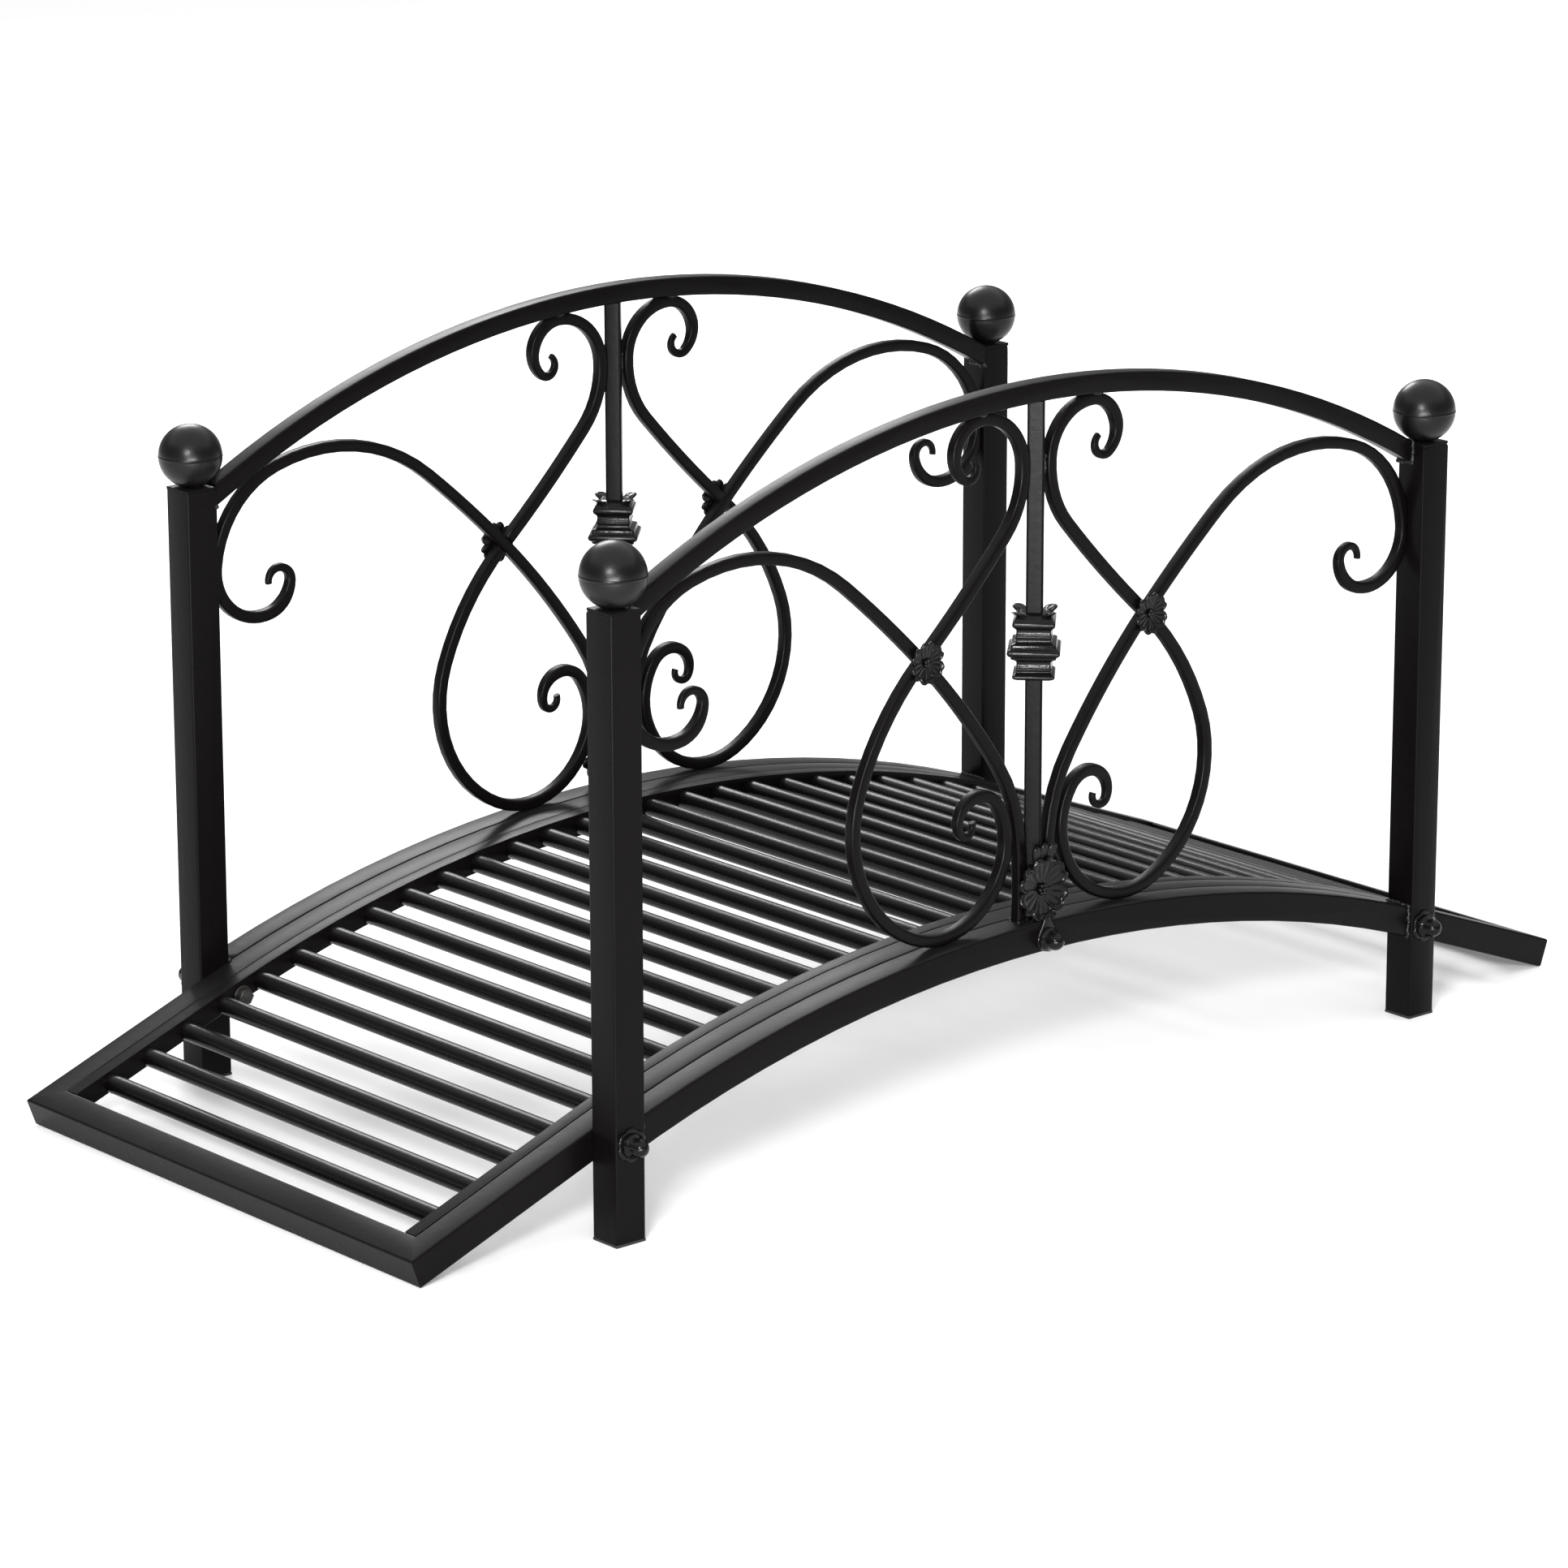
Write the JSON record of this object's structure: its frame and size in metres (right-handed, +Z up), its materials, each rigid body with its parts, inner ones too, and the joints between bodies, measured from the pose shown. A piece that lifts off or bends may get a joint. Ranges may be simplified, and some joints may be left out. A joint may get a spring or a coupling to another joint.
{
  "type": "arched metal garden footbridge",
  "caption": "Small arched metal garden bridge with a round-slat deck, four posts with ball finials and two scrollwork side panels.",
  "frame": {"origin": "centre of the bridge's footprint, on the ground that the four posts and the two ramp ends stand on", "axes": "+X along the bridge to the right-hand ramp, +Y across it towards the far panel, +Z up"},
  "size_m": [1, 0.4834, 0.4884],
  "materials": {
    "frame_coat": "satin black powder coat over welded steel tube and bar",
    "slat_coat": "satin black powder coat on round steel tube",
    "ball_coat": "smooth satin black powder coat on pressed steel",
    "cast_black": "glossy black enamel over cast detail",
    "foot_plastic": "matte black moulded plastic",
    "black_hardware": "black coated steel fasteners"
  },
  "bodies": {
    "root": {"deck_side_rail_near": "frame_coat", "deck_side_rail_far": "frame_coat", "deck_end_bar_left": "frame_coat", "deck_end_bar_right": "frame_coat", "slat_strip_near": "frame_coat", "slat_strip_far": "frame_coat", "deck_slats": "slat_coat", "post_near_left": "frame_coat", "post_near_right": "frame_coat", "post_far_left": "frame_coat", "post_far_right": "frame_coat", "post_caps": "frame_coat", "post_feet": "foot_plastic", "ball_near_left": "ball_coat", "ball_near_right": "ball_coat", "ball_far_left": "ball_coat", "ball_far_right": "ball_coat", "top_rail_near": "frame_coat", "top_rail_far": "frame_coat", "bottom_rail_near": "frame_coat", "bottom_rail_far": "frame_coat", "centre_bar_near": "frame_coat", "centre_bar_far": "frame_coat", "collar_near": "cast_black", "collar_far": "cast_black", "post_scroll_near_left": "frame_coat", "post_scroll_near_right": "frame_coat", "post_scroll_far_left": "frame_coat", "post_scroll_far_right": "frame_coat", "heart_scroll_near_left": "frame_coat", "heart_scroll_near_right": "frame_coat", "heart_scroll_far_left": "frame_coat", "heart_scroll_far_right": "frame_coat", "loop_scroll_near_left": "frame_coat", "loop_scroll_near_right": "frame_coat", "loop_scroll_far_left": "frame_coat", "loop_scroll_far_right": "frame_coat", "rosette_near_left": "cast_black", "rosette_near_right": "cast_black", "rosette_far_left": "cast_black", "rosette_far_right": "cast_black", "centre_flower_near": "cast_black", "centre_flower_far": "cast_black", "post_bolts": "black_hardware", "post_bolt_washers": "black_hardware", "post_flower_washers": "cast_black", "post_cap_nuts": "cast_black", "middle_bolts": "cast_black", "middle_leaf_washers": "cast_black", "middle_inserts": "black_hardware"}
  },
  "joints": []
}
